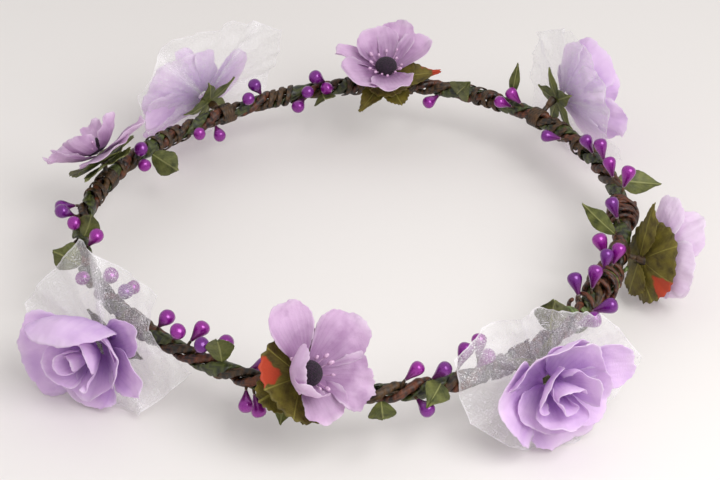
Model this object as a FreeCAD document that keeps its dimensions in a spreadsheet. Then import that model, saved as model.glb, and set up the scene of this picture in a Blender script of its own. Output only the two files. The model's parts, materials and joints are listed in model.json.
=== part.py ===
import FreeCAD, Part
import math
import os

import Sketcher
from FreeCAD import Placement, Rotation, Vector

# Flower crown: a hoop of twisted paper-wrapped wires that carries eight fabric flowers, berries and leaves.
# Millimetres. The origin is the centre of the hoop, in the plane of its centre line, and +Z is up.
# Angles round the hoop start at +X and run anticlockwise seen from above. At any angle the hoop has three
# directions: along (its tangent), outward and up. A "turn" about the hoop starts at outward and rises to up.

SIZES = {
    # the hoop
    "hoop_radius": 92.0,
    "swell_two": 2.6,
    "swell_three": 2.1,
    "swell_four": 1.0,
    "core_radius": 0.5,
    "strand_radius": 1.05,
    "strand_offset": 1.9,
    "strand_twists": 26,
    # thin wires wound round the strands
    "tendril_radius": 0.6,
    "tendril_offset": 4.1,
    "closure_radius": 1.0,
    "closure_offset": 4.6,
    # the wrap, wire and knob that hold each flower
    "wrap_inner": 3.35,
    "wrap_outer": 4.1,
    "wrap_length": 6.0,
    "stem_radius": 0.9,
    "stem_reach": 8.0,
    "knob_radius": 2.2,
    # roses
    "calyx_base": 2.6,
    "calyx_low_radius": 2.2,
    "calyx_high_radius": 3.4,
    "calyx_height": 2.0,
    "sepal_reach": 10.5,
    "sepal_half_width": 1.9,
    "sepal_thickness": 0.6,
    "sepal_count": 5,
    "bud_radius": 5.4,
    "bud_low_radius": 2.2,
    "bud_base": 11.0,
    "bud_shoulder": 17.0,
    "bud_top": 27.0,
    "tulle_thickness": 0.5,
    # anemones
    "button_radius": 3.7,
    "button_base": 5.4,
    "button_height": 3.6,
    # fabric, berries
    "petal_thickness": 0.45,
    "berry_radius": 2.1,
    "berry_length": 8.0,
    "berry_tip_radius": 0.45,
    "berry_stem_length": 2.3,
    # the surface that the crown lies on
    "table_depth": 20.0,
}

# Sides of a wire's section, and sections in each turn of a strand, in each turn of a coil and in the whole core.
WIRE_SIDES = 8
STRAND_STEPS = 8
COIL_STEPS = 12
CORE_STEPS = 90
# How far the berries and leaves stand clear of the strands.
SKIN_GAP = 0.35
# Outlines of petals and leaves, as shares of the straight line from foot to tip: an oval's middle and half
# length, and where a pointed leaf is widest.
OVAL_MIDDLE = 0.48
OVAL_HALF_LENGTH = 0.545
WIDEST = 0.45

# Flowers: foot angle on the hoop, turn of the wire stem, and where the head faces: its swing from outward
# towards along, and its rise above the hoop's plane. All in degrees.
ROSES = {
    "rose_front_left": (218.7, -34, 12, 12),
    "rose_front_right": (303.5, -4, -17, 12),
    "rose_back_left": (125.4, -4, 12, 20),
    "rose_back_right": (45.2, 29, -17, 6),
}
ANEMONES = {
    "anemone_front": (260, 71, 43, 43),
    "anemone_left": (164.7, 87, -9, 53),
    "anemone_back": (83.7, 127, 186, 72),
    "anemone_right": (347, -9, 37, -16),
}

# A ring of petals: how many, the first one's angle, foot radius and height, opening from the flower's axis
# at the foot and at the tip, length and half width.
ROSE_OUTER = (
    (3, 30, 2.0, 6.6, 80, 42, 25.0, 12.5),
    (3, 90, 1.8, 8.2, 70, 24, 22.0, 11.5),
)
ROSE_INNER = ((3, 10, 1.6, 9.8, 52, 2, 16.5, 8.0),)
ANEMONE_PETALS = (
    (3, 20, 1.3, 2.9, 84, 50, 19.0, 8.6),
    (3, 80, 1.2, 3.9, 78, 36, 17.5, 8.0),
)
TULLE_DISH = (1.2, 5.2, 84, 60, 29.0)

# The round leaf under each anemone, as a bowl: foot radius and height, opening at the foot and at the rim,
# length. Those that reach over the vine are smaller and deeper, so that they clear it as the flower turns.
FLAT_ROUND_LEAF = (2.7, 0.3, 92, 82, 11.6)
ROUND_LEAVES = {
    "anemone_front": (2.7, 0.3, 90, 62, 10.0),
    "anemone_left": FLAT_ROUND_LEAF,
    "anemone_back": FLAT_ROUND_LEAF,
    "anemone_right": (2.7, 0.3, 90, 62, 9.0),
}
# Olive leaves below the round one: angle round the head, length, half width, and whether the tip is pointed.
ANEMONE_LEAVES = {
    "anemone_front": ((185, 13, 7, False), (250, 13, 4, True)),
    "anemone_left": ((20, 17, 5, True), (75, 14, 6, False), (200, 13, 3, True)),
    "anemone_back": ((5, 20, 6, True), (235, 19, 4.5, True), (290, 13, 5, False)),
    "anemone_right": ((262, 14, 8, False), (105, 18, 5, True)),
}

# Berries and small vine leaves: angle round the hoop and turn about it, in degrees.
BERRIES = {
    "berries_back": ((115, 100), (118, 130), (130, 190), (136, 165), (104, 185), (103, 150),
                     (96, 150), (98, 115), (70, 190)),
    "berries_left": ((152, 130), (155, 165), (176, 20), (181, 50), (186, 80), (193, 120),
                     (203, 50), (207, 100), (211, 135), (214, 95)),
    "berries_front": ((226, 100), (231, 80), (234, 120), (237, 75), (240, 110), (247, 190),
                      (249, -20), (250, -60), (278, 95), (283, 75), (280, 0), (289, 110),
                      (292, 75), (294, 130)),
    "berries_right": ((51, 145), (49, 110), (34, 170), (23, 115), (19, 95), (12, 100),
                      (8, 70), (356, 120), (341, 125), (335, 100), (338, 80), (325, 130),
                      (328, 95), (323, 25), (317, 30)),
}
# Vine leaves add their length and half width.
VINE_LEAVES = {
    "vine_leaves_back": ((150, 190, 14, 4.5), (99.6, 187, 11, 4), (66, 165, 12, 4.5),
                         (53, 80, 15, 1.8)),
    "vine_leaves_left": ((189, 115, 10, 3.5), (198, 45, 13, 4.5)),
    "vine_leaves_front": ((285, 50, 11, 4), (272, -10, 14, 4.5), (256.8, -40, 8, 2.5),
                          (243, 85, 13, 4)),
    "vine_leaves_right": ((16, -15, 14, 4), (352, 140, 20, 3.5), (312, 90, 14, 5)),
}

# Coils: start angle, end angle and number of turns.
TENDRILS = ((26, 32, 2), (36, 41, 2), (56, 64, 3), (74, 79, 1), (88, 94, 2), (106, 113, 3),
            (139, 148, 3), (158, 161, 1), (168, 173, 2), (221.5, 224, 1), (251.4, 254.6, 1.5),
            (296, 300, 2), (307, 311, 1))
CLOSURE_BROWN = ((329.7, 333.8, 2), (357.6, 364.5, 4))
CLOSURE_GREEN = ((319, 321.6, 1), (342.4, 344, 0.75))


def make_sheet(doc):
    """The driving dimensions, one cell each."""
    sheet = doc.addObject("Spreadsheet::Sheet", "Sizes")
    for row, (alias, value) in enumerate(SIZES.items(), start=1):
        sheet.set(f"A{row}", alias)
        sheet.set(f"B{row}", str(value))
        sheet.setAlias(f"B{row}", alias)
    doc.recompute()
    return sheet


# Places on the hoop


def hoop_radius_at(sheet, angle):
    """The hand-bent outline: a circle with a little of the second to fourth harmonics."""
    a = math.radians(angle)
    return (
        sheet.hoop_radius
        + sheet.swell_two * math.sin(2 * a)
        - sheet.swell_three * math.cos(3 * a + math.radians(18))
        + sheet.swell_four * math.cos(4 * a)
    )


def hoop_point(sheet, angle):
    a = math.radians(angle)
    radius = hoop_radius_at(sheet, angle)
    return Vector(radius * math.cos(a), radius * math.sin(a), 0)


def hoop_directions(sheet, angle):
    """The unit directions along, outward and up at an angle."""
    step = 0.01
    along = hoop_point(sheet, angle + step) - hoop_point(sheet, angle - step)
    along.normalize()
    up = Vector(0, 0, 1)
    return along, along.cross(up), up


def turned(sheet, angle, turn):
    """The direction that stands square on the hoop at an angle, turned from outward towards up."""
    _, outward, up = hoop_directions(sheet, angle)
    t = math.radians(turn)
    return outward * math.cos(t) + up * math.sin(t)


def standing_on_hoop(sheet, angle, turn, distance):
    """A frame on the hoop: its z stands square on the hoop and its x runs along it."""
    along, _, _ = hoop_directions(sheet, angle)
    z = turned(sheet, angle, turn)
    base = hoop_point(sheet, angle) + z * distance
    return Placement(base, Rotation(along, z.cross(along), z, "ZXY"))


def head_frame(sheet, flower):
    """A flower head's frame: origin in the middle of the stem's knob, z out of the flower, y rising."""
    angle, turn, swing, rise = flower
    along, outward, up = hoop_directions(sheet, angle)
    s, r = math.radians(swing), math.radians(rise)
    z = (outward * math.cos(s) + along * math.sin(s)) * math.cos(r) + up * math.sin(r)
    x = up.cross(z)
    x.normalize()
    base = hoop_point(sheet, angle) + turned(sheet, angle, turn) * sheet.stem_reach
    return Placement(base, Rotation(x, z.cross(x), z, "ZXY"))


# Wires


def wire_solid(points, references, radius, closed):
    """An eight-sided wire through points. Each section's first corner points along its reference."""
    corners = [2 * math.pi * n / WIRE_SIDES for n in range(WIRE_SIDES + 1)]
    outline = [Vector(radius * math.cos(c), radius * math.sin(c), 0) for c in corners]
    last = len(points) - 1
    sections = []
    for n, (point, reference) in enumerate(zip(points, references)):
        before = points[n - 1] if closed or n > 0 else point
        after = points[(n + 1) % len(points)] if closed or n < last else point
        section = Part.makePolygon(outline)
        direction = after - before
        section.Placement = Placement(point, Rotation(reference, Vector(), direction, "ZXY"))
        sections.append(section)
    if closed:
        sections.append(sections[0])
    return Part.makeLoft(sections, True, True)


def wound_wire(sheet, start, end, turns, offset, radius, steps, phase=0):
    """A wire wound round the hoop's centre line between two angles."""
    closed = end - start == 360
    count = round(turns * steps)
    points, references = [], []
    for n in range(count if closed else count + 1):
        angle = start + (end - start) * n / count
        reference = turned(sheet, angle, phase + 360 * turns * n / count)
        points.append(hoop_point(sheet, angle) + reference * offset)
        references.append(reference)
    return wire_solid(points, references, radius, closed)


def core_wire(sheet):
    """The bare wire in the middle of the strands, closed on itself."""
    angles = [360 * n / CORE_STEPS for n in range(CORE_STEPS)]
    points = [hoop_point(sheet, angle) for angle in angles]
    references = [turned(sheet, angle, 0) for angle in angles]
    return wire_solid(points, references, sheet.core_radius, True)


def strand(sheet, phase):
    return wound_wire(
        sheet, 0, 360, sheet.strand_twists, sheet.strand_offset, sheet.strand_radius, STRAND_STEPS, phase
    )


def coils(sheet, stretches, offset, radius):
    """One coil for each stretch of the hoop."""
    return Part.makeCompound(
        [wound_wire(sheet, start, end, turns, offset, radius, COIL_STEPS) for start, end, turns in stretches]
    )


# Fabric


def bowl_line(foot_radius, foot_height, opening_foot, opening_tip, length, inset=0):
    """Half of a bowl's section in the XZ plane, moved inwards by an inset. Openings are from the axis."""
    count = 6
    x, z, points = foot_radius, foot_height, []
    for n in range(count + 1):
        opening = math.radians(opening_foot + (opening_tip - opening_foot) * n / count)
        points.append(Vector(x - inset * math.cos(opening), 0, z + inset * math.sin(opening)))
        x += math.sin(opening) * length / count
        z += math.cos(opening) * length / count
    return points


def bowl_sector(line_sizes, thickness, start, span):
    """A thin bowl of revolution, or a sector of one."""
    outer = bowl_line(*line_sizes)
    inner = bowl_line(*line_sizes, inset=thickness)
    edges = []
    for points in (outer, inner):
        curve = Part.BSplineCurve()
        curve.interpolate(points)
        edges.append(curve.toShape())
    edges.append(Part.makeLine(outer[0], inner[0]))
    edges.append(Part.makeLine(outer[-1], inner[-1]))
    face = Part.Face(Part.Wire(Part.__sortEdges__(edges)))
    face.rotate(Vector(), Vector(0, 0, 1), start)
    return face.revolve(Vector(), Vector(0, 0, 1), span)


def outline_block(line_sizes, half_width, pointed):
    """A block with the outline of a petal or leaf, standing square on its middle."""
    points = bowl_line(*line_sizes)
    foot, tip = points[0], points[-1]
    run = tip - foot
    chord = run.Length
    if pointed:
        far = half_width / 5
        ends = [Vector(0, -far, 0), Vector(chord, 0, 0), Vector(0, far, 0)]
        widest = chord * WIDEST
        sides = [
            Part.Arc(ends[0], Vector(widest, -half_width, 0), ends[1]).toShape(),
            Part.Arc(ends[1], Vector(widest, half_width, 0), ends[2]).toShape(),
            Part.makeLine(ends[2], ends[0]),
        ]
    else:
        middle = Vector(chord * OVAL_MIDDLE, 0, 0)
        axes = [Vector(chord * OVAL_HALF_LENGTH, 0, 0), Vector(0, half_width, 0)]
        axes.sort(key=lambda axis: -axis.Length)
        oval = Part.Ellipse(middle + axes[0], middle + axes[1], middle)
        sides = [oval.toShape()]
    block = Part.Face(Part.Wire(sides)).extrude(Vector(0, 0, 2 * chord))
    below = Placement(Vector(0, 0, -chord), Rotation())
    block.Placement = Placement(foot, Rotation(run, Vector(0, 1, 0), Vector(), "XYZ")).multiply(below)
    return block


def petal(line_sizes, half_width, thickness, around, pointed=False):
    """A petal or leaf: the part of a bowl inside its outline, turned round the flower's axis."""
    reach = 150
    sector = bowl_sector(line_sizes, thickness, -reach / 2, reach)
    shape = sector.common(outline_block(line_sizes, half_width, pointed)).Solids[0]
    shape.rotate(Vector(), Vector(0, 0, 1), around)
    return shape


def lowest_point(shape, frame):
    placed = shape.copy()
    placed.Placement = frame.multiply(shape.Placement)
    return min(point.z for edge in placed.Edges for point in edge.discretize(12))


def petal_above_table(sheet, frame, line_sizes, half_width, around, pointed=False):
    """A petal, closed up in steps of two degrees for as long as it would reach below the table."""
    foot_radius, foot_height, opening_foot, opening_tip, length = line_sizes
    while True:
        sizes = (foot_radius, foot_height, opening_foot, opening_tip, length)
        shape = petal(sizes, half_width, sheet.petal_thickness, around, pointed)
        if lowest_point(shape, frame) >= -sheet.table_depth:
            return shape
        opening_foot -= 2
        opening_tip -= 2
        if opening_tip < 0:
            raise RuntimeError("a petal cannot be closed up enough to clear the table")


def petal_rings(sheet, frame, rings):
    petals = []
    for count, first, foot_radius, foot_height, opening_foot, opening_tip, length, half_width in rings:
        sizes = (foot_radius, foot_height, opening_foot, opening_tip, length)
        for n in range(count):
            around = first + 360 * n / count
            petals.append(petal_above_table(sheet, frame, sizes, half_width, around))
    return Part.makeCompound(petals)


def tulle_dish(sheet, frame):
    """The net gathered behind a rose: a thin dish, lying flat where it meets the table."""
    dish = bowl_sector(TULLE_DISH, sheet.tulle_thickness, 0, 360)
    size = 4 * sheet.hoop_radius
    above = Part.makeBox(size, size, size, Vector(-size / 2, -size / 2, -sheet.table_depth))
    above.Placement = frame.inverse()
    return dish.common(above).Solids[0]


def anemone_leaves(sheet, frame, round_leaf, leaves):
    """A round leaf threaded on the stem, with smaller leaves just below it."""
    foot_radius, foot_height = round_leaf[:2]
    shapes = [bowl_sector(round_leaf, sheet.petal_thickness, 0, 360)]
    for around, length, half_width, pointed in leaves:
        sizes = (foot_radius, foot_height - 1.2, 94, 86, length)
        shapes.append(petal_above_table(sheet, frame, sizes, half_width, around, pointed))
    return Part.makeCompound(shapes)


def stamens(sheet):
    """Thin threads with a pearl at the tip, in a ring round the button."""
    count = 12
    thread_radius, pearl_radius = 0.2, 0.7
    shapes = []
    for n in range(count):
        foot = Vector(sheet.button_radius + 0.5, 0, sheet.button_base + 0.6)
        direction = Vector(1, 0, 1 + 0.35 * (n % 2))
        length = 4.2 + 1.1 * (n % 3)
        thread = Part.makeCylinder(thread_radius, length, foot, direction)
        direction.normalize()
        pearl = Part.makeSphere(pearl_radius, foot + direction * length)
        stamen = thread.fuse(pearl).Solids[0]
        stamen.rotate(Vector(), Vector(0, 0, 1), 360 * n / count)
        shapes.append(stamen)
    return Part.makeCompound(shapes)


# Berries and vine leaves


def berry(sheet):
    """A teardrop on the z axis: a cone that runs tangent into a ball."""
    ball, tip = sheet.berry_radius, sheet.berry_tip_radius
    middle = sheet.berry_length - ball
    distance = math.hypot(tip, middle)
    slope = math.pi / 2 - math.acos(ball / distance) - math.atan2(tip, middle)
    shoulder = Vector(ball * math.cos(slope), 0, middle - ball * math.sin(slope))
    side = Vector(ball * math.cos(0.6), 0, middle + ball * math.sin(0.6))
    top = Vector(0, 0, sheet.berry_length)
    foot = Vector(tip, 0, 0)
    edges = [
        Part.makeLine(Vector(), foot),
        Part.makeLine(foot, shoulder),
        Part.Arc(shoulder, side, top).toShape(),
        Part.makeLine(top, Vector()),
    ]
    return Part.Face(Part.Wire(edges)).revolve(Vector(), Vector(0, 0, 1), 360)


def berry_foot(sheet):
    """The distance from the hoop's centre line to the foot of a berry's stem."""
    return sheet.strand_offset + sheet.strand_radius + SKIN_GAP


def berry_group(sheet, places):
    shape = berry(sheet)
    distance = berry_foot(sheet) + sheet.berry_stem_length
    placed = []
    for angle, turn in places:
        one = shape.copy()
        one.Placement = standing_on_hoop(sheet, angle, turn, distance)
        placed.append(one)
    return Part.makeCompound(placed)


def berry_stems(sheet):
    placed = []
    for places in BERRIES.values():
        for angle, turn in places:
            one = Part.makeCylinder(sheet.berry_tip_radius, sheet.berry_stem_length)
            one.Placement = standing_on_hoop(sheet, angle, turn, berry_foot(sheet))
            placed.append(one)
    return Part.makeCompound(placed)


def vine_leaf_group(sheet, leaves):
    """Small leaves that stand off the hoop and curl along it."""
    placed = []
    hollow = 6
    for angle, turn, length, half_width in leaves:
        leaf = petal((hollow, 0, 12, 40, length), half_width, sheet.petal_thickness, 0, pointed=True)
        leaf.translate(Vector(-hollow, 0, 0))
        leaf.Placement = standing_on_hoop(sheet, angle, turn, berry_foot(sheet)).multiply(leaf.Placement)
        placed.append(leaf)
    return Part.makeCompound(placed)


# PartDesign pieces


def plane_of(body, role):
    return next(feature for feature in body.Origin.OriginFeatures if feature.Role == role)


def sketch_on(body, name, role):
    sketch = body.newObject("Sketcher::SketchObject", name)
    sketch.AttachmentSupport = (plane_of(body, role), "")
    sketch.MapMode = "FlatFace"
    return sketch


def add_circle(sketch, alias, value):
    """A circle round the sketch's origin, with its radius bound to a cell."""
    edge = sketch.addGeometry(Part.Circle(Vector(), Vector(0, 0, 1), value))
    sketch.addConstraint(Sketcher.Constraint("Coincident", edge, 3, -1, 1))
    number = sketch.addConstraint(Sketcher.Constraint("Radius", edge, value))
    sketch.renameConstraint(number, alias)
    sketch.setExpression(f".Constraints.{alias}", f"Sizes.{alias}")


def bind_distance(sketch, name, kind, edge, point, value, expression):
    """A distance from the sketch's origin to an edge's point, bound to an expression."""
    number = sketch.addConstraint(Sketcher.Constraint(kind, -1, 1, edge, point, value))
    sketch.renameConstraint(number, name)
    sketch.setExpression(f".Constraints.{name}", expression)


def add_pad(body, name, sketch, expression, symmetric=False):
    pad = body.newObject("PartDesign::Pad", name)
    pad.Profile = sketch
    pad.setExpression("Length", expression)
    if symmetric:
        pad.Midplane = True
    return pad


def revolve_sketch(body, name, sketch):
    revolution = body.newObject("PartDesign::Revolution", name)
    revolution.Profile = sketch
    revolution.ReferenceAxis = (sketch, ["V_Axis"])
    revolution.Angle = 360
    return revolution


def make_stem(doc, sheet, label, flower):
    """A flower's wire stem: the wrap round the hoop, the wire, and the knob that the head sits on."""
    body = doc.addObject("PartDesign::Body", label)
    ring = sketch_on(body, "WrapRing", "YZ_Plane")
    add_circle(ring, "wrap_inner", sheet.wrap_inner)
    add_circle(ring, "wrap_outer", sheet.wrap_outer)
    add_pad(body, "Wrap", ring, "Sizes.wrap_length", symmetric=True)
    wire = sketch_on(body, "WireCircle", "XY_Plane")
    wire.setExpression(".AttachmentOffset.Base.z", "(Sizes.wrap_inner + Sizes.wrap_outer) / 2")
    add_circle(wire, "stem_radius", sheet.stem_radius)
    add_pad(body, "Wire", wire, "Sizes.stem_reach - (Sizes.wrap_inner + Sizes.wrap_outer) / 2")
    knob = body.newObject("PartDesign::AdditiveSphere", "Knob")
    knob.setExpression("Radius", "Sizes.knob_radius")
    knob.setExpression(".Placement.Base.z", "Sizes.stem_reach")
    angle, turn = flower[:2]
    body.Placement = standing_on_hoop(sheet, angle, turn, 0)
    return body


def make_calyx(doc, sheet, label, frame):
    """A rose's green cup and its star of sepals."""
    body = doc.addObject("PartDesign::Body", label)
    low, high = sheet.calyx_low_radius, sheet.calyx_high_radius
    base, top = sheet.calyx_base, sheet.calyx_base + sheet.calyx_height
    half = sketch_on(body, "CupHalf", "XZ_Plane")
    corners = [Vector(0, base, 0), Vector(low, base, 0), Vector(high, top, 0), Vector(0, top, 0)]
    for n in range(4):
        half.addGeometry(Part.LineSegment(corners[n], corners[(n + 1) % 4]))
    for n in range(4):
        half.addConstraint(Sketcher.Constraint("Coincident", n, 2, (n + 1) % 4, 1))
    half.addConstraint(Sketcher.Constraint("Horizontal", 0))
    half.addConstraint(Sketcher.Constraint("Horizontal", 2))
    half.addConstraint(Sketcher.Constraint("PointOnObject", 0, 1, -2))
    half.addConstraint(Sketcher.Constraint("PointOnObject", 2, 2, -2))
    bind_distance(half, "low_radius", "DistanceX", 0, 2, low, "Sizes.calyx_low_radius")
    bind_distance(half, "base", "DistanceY", 0, 2, base, "Sizes.calyx_base")
    bind_distance(half, "high_radius", "DistanceX", 1, 2, high, "Sizes.calyx_high_radius")
    bind_distance(half, "top", "DistanceY", 1, 2, top, "Sizes.calyx_base + Sizes.calyx_height")
    revolve_sketch(body, "Cup", half)
    sepal = sketch_on(body, "SepalOutline", "XY_Plane")
    sepal.setExpression(".AttachmentOffset.Base.z", "Sizes.calyx_base")
    width, reach = sheet.sepal_half_width, sheet.sepal_reach
    points = [Vector(0, -width, 0), Vector(reach, 0, 0), Vector(0, width, 0)]
    for n in range(3):
        sepal.addGeometry(Part.LineSegment(points[n], points[(n + 1) % 3]))
    for n in range(3):
        sepal.addConstraint(Sketcher.Constraint("Coincident", n, 2, (n + 1) % 3, 1))
    sepal.addConstraint(Sketcher.Constraint("PointOnObject", 0, 1, -2))
    sepal.addConstraint(Sketcher.Constraint("PointOnObject", 2, 1, -2))
    sepal.addConstraint(Sketcher.Constraint("PointOnObject", 0, 2, -1))
    bind_distance(sepal, "reach", "DistanceX", 0, 2, reach, "Sizes.sepal_reach")
    bind_distance(sepal, "width", "DistanceY", 2, 1, width, "Sizes.sepal_half_width")
    bind_distance(sepal, "other_width", "DistanceY", 0, 1, -width, "-Sizes.sepal_half_width")
    pad = add_pad(body, "Sepal", sepal, "Sizes.sepal_thickness")
    doc.recompute()
    star = body.newObject("PartDesign::PolarPattern", "Star")
    star.Originals = [pad]
    star.Axis = (sepal, ["N_Axis"])
    star.Angle = 360
    star.setExpression("Occurrences", "Sizes.sepal_count")
    body.Tip = star
    body.Placement = frame
    return body


def make_bud(doc, sheet, label, frame):
    """The rolled heart of a rose: a cone that widens to its shoulder, then a cylinder with a round top."""
    body = doc.addObject("PartDesign::Body", label)
    half = sketch_on(body, "Half", "XZ_Plane")
    radius = sheet.bud_radius
    dome_centre = Vector(0, sheet.bud_top - radius, 0)
    foot = Vector(0, sheet.bud_base, 0)
    low = Vector(sheet.bud_low_radius, sheet.bud_base, 0)
    shoulder = Vector(radius, sheet.bud_shoulder, 0)
    half.addGeometry(Part.LineSegment(foot, low))
    half.addGeometry(Part.LineSegment(low, shoulder))
    half.addGeometry(Part.LineSegment(shoulder, dome_centre + Vector(radius, 0, 0)))
    half.addGeometry(Part.ArcOfCircle(Part.Circle(dome_centre, Vector(0, 0, 1), radius), 0, math.pi / 2))
    half.addGeometry(Part.LineSegment(Vector(0, sheet.bud_top, 0), foot))
    for line in range(4):
        half.addConstraint(Sketcher.Constraint("Coincident", line, 2, line + 1, 1))
    half.addConstraint(Sketcher.Constraint("Coincident", 4, 2, 0, 1))
    half.addConstraint(Sketcher.Constraint("Horizontal", 0))
    half.addConstraint(Sketcher.Constraint("Vertical", 2))
    half.addConstraint(Sketcher.Constraint("PointOnObject", 0, 1, -2))
    half.addConstraint(Sketcher.Constraint("PointOnObject", 4, 1, -2))
    half.addConstraint(Sketcher.Constraint("PointOnObject", 3, 3, -2))
    half.addConstraint(Sketcher.Constraint("Horizontal", 3, 3, 3, 1))
    bind_distance(half, "base", "DistanceY", 0, 1, foot.y, "Sizes.bud_base")
    bind_distance(half, "low_radius", "DistanceX", 0, 2, low.x, "Sizes.bud_low_radius")
    bind_distance(half, "shoulder", "DistanceY", 1, 2, shoulder.y, "Sizes.bud_shoulder")
    bind_distance(half, "radius", "DistanceX", 1, 2, radius, "Sizes.bud_radius")
    bind_distance(half, "top", "DistanceY", 3, 2, sheet.bud_top, "Sizes.bud_top")
    revolve_sketch(body, "Turned", half)
    body.Placement = frame
    return body


def make_button(doc, sheet, label, frame):
    """The dark dome in the middle of an anemone."""
    body = doc.addObject("PartDesign::Body", label)
    half = sketch_on(body, "Half", "XZ_Plane")
    base, top, radius = sheet.button_base, sheet.button_base + sheet.button_height, sheet.button_radius
    arc = Part.Arc(Vector(radius, base, 0), Vector(0, top, 0), Vector(-radius, base, 0))
    centre = arc.toShape().Curve.Center
    arc_radius = arc.toShape().Curve.Radius
    start = math.atan2(base - centre.y, radius)
    quarter = Part.ArcOfCircle(Part.Circle(centre, Vector(0, 0, 1), arc_radius), start, math.pi / 2)
    half.addGeometry(quarter)
    half.addGeometry(Part.LineSegment(Vector(0, top, 0), Vector(0, base, 0)))
    half.addGeometry(Part.LineSegment(Vector(0, base, 0), Vector(radius, base, 0)))
    half.addConstraint(Sketcher.Constraint("Coincident", 0, 2, 1, 1))
    half.addConstraint(Sketcher.Constraint("Coincident", 1, 2, 2, 1))
    half.addConstraint(Sketcher.Constraint("Coincident", 2, 2, 0, 1))
    half.addConstraint(Sketcher.Constraint("PointOnObject", 0, 3, -2))
    half.addConstraint(Sketcher.Constraint("PointOnObject", 0, 2, -2))
    half.addConstraint(Sketcher.Constraint("PointOnObject", 1, 2, -2))
    half.addConstraint(Sketcher.Constraint("Horizontal", 2))
    bind_distance(half, "base", "DistanceY", 2, 2, base, "Sizes.button_base")
    bind_distance(half, "radius", "DistanceX", 2, 2, radius, "Sizes.button_radius")
    bind_distance(half, "top", "DistanceY", 0, 2, top, "Sizes.button_base + Sizes.button_height")
    revolve_sketch(body, "Dome", half)
    body.Placement = frame
    return body


def make_feature(doc, label, shape, placement=None):
    """A free-form piece."""
    feature = doc.addObject("Part::Feature", label)
    feature.Shape = shape
    if placement:
        feature.Placement = placement
    return feature


def make_vine(doc, sheet):
    pieces = [make_feature(doc, "core_wire", core_wire(sheet))]
    for n, label in enumerate(("brown_strand", "bark_strand", "green_strand")):
        pieces.append(make_feature(doc, label, strand(sheet, 120 * n)))
    tendrils = coils(sheet, TENDRILS, sheet.tendril_offset, sheet.tendril_radius)
    pieces.append(make_feature(doc, "tendril_coils", tendrils))
    brown = coils(sheet, CLOSURE_BROWN, sheet.closure_offset, sheet.closure_radius)
    pieces.append(make_feature(doc, "closure_coil_brown", brown))
    green = coils(sheet, CLOSURE_GREEN, sheet.closure_offset, sheet.closure_radius)
    pieces.append(make_feature(doc, "closure_coil_green", green))
    for label, places in BERRIES.items():
        pieces.append(make_feature(doc, label, berry_group(sheet, places)))
    pieces.append(make_feature(doc, "berry_stems", berry_stems(sheet)))
    for label, leaves in VINE_LEAVES.items():
        pieces.append(make_feature(doc, label, vine_leaf_group(sheet, leaves)))
    return pieces


def make_rose(doc, sheet, name, flower):
    frame = head_frame(sheet, flower)
    return [
        make_stem(doc, sheet, f"{name}_stem", flower),
        make_calyx(doc, sheet, f"{name}_calyx", frame),
        make_feature(doc, f"{name}_tulle", tulle_dish(sheet, frame), frame),
        make_feature(doc, f"{name}_outer_petals", petal_rings(sheet, frame, ROSE_OUTER), frame),
        make_feature(doc, f"{name}_inner_petals", petal_rings(sheet, frame, ROSE_INNER), frame),
        make_bud(doc, sheet, f"{name}_bud", frame),
    ]


def make_anemone(doc, sheet, name, flower):
    frame = head_frame(sheet, flower)
    leaves = anemone_leaves(sheet, frame, ROUND_LEAVES[name], ANEMONE_LEAVES[name])
    return [
        make_stem(doc, sheet, f"{name}_stem", flower),
        make_feature(doc, f"{name}_leaves", leaves, frame),
        make_feature(doc, f"{name}_petals", petal_rings(sheet, frame, ANEMONE_PETALS), frame),
        make_button(doc, sheet, f"{name}_button", frame),
        make_feature(doc, f"{name}_stamens", stamens(sheet), frame),
    ]


def check_document(doc, pieces):
    """Every object computed, every piece a valid shape with solids in it."""
    for item in doc.Objects:
        if "Invalid" in item.State or "Error" in item.State:
            raise RuntimeError(f"{item.Label} did not compute: {item.State}")
    for piece in pieces:
        shape = piece.Shape
        if shape.isNull() or not shape.isValid() or not shape.Solids:
            raise RuntimeError(f"{piece.Label} has no valid solid")
        if any(solid.Volume <= 0 for solid in shape.Solids):
            raise RuntimeError(f"{piece.Label} has a solid that is inside out")


def main():
    doc = FreeCAD.newDocument("flower_crown")
    sheet = make_sheet(doc)
    pieces = make_vine(doc, sheet)
    for name, flower in ROSES.items():
        pieces += make_rose(doc, sheet, name, flower)
    for name, flower in ANEMONES.items():
        pieces += make_anemone(doc, sheet, name, flower)
    doc.recompute()
    check_document(doc, pieces)
    os.makedirs("parts", exist_ok=True)
    for piece in pieces:
        piece.Shape.exportStep(f"parts/{piece.Label}.step")
    print(len(pieces), "pieces written")


main()
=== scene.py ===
import json
from math import atan2, cos, degrees, hypot, pi, radians, sin

import bmesh
import bpy
import numpy as np
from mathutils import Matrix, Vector


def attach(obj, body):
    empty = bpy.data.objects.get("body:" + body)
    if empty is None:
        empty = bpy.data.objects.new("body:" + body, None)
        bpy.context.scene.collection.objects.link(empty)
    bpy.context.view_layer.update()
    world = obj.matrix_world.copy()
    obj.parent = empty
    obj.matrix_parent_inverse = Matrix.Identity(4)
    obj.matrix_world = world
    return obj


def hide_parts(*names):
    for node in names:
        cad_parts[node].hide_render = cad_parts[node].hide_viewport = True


# The looks of a flower crown: petals, net, leaves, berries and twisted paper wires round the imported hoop.
# World units are metres. Sizes in the tables are millimetres, in a flower head's frame or round the hoop.

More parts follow.
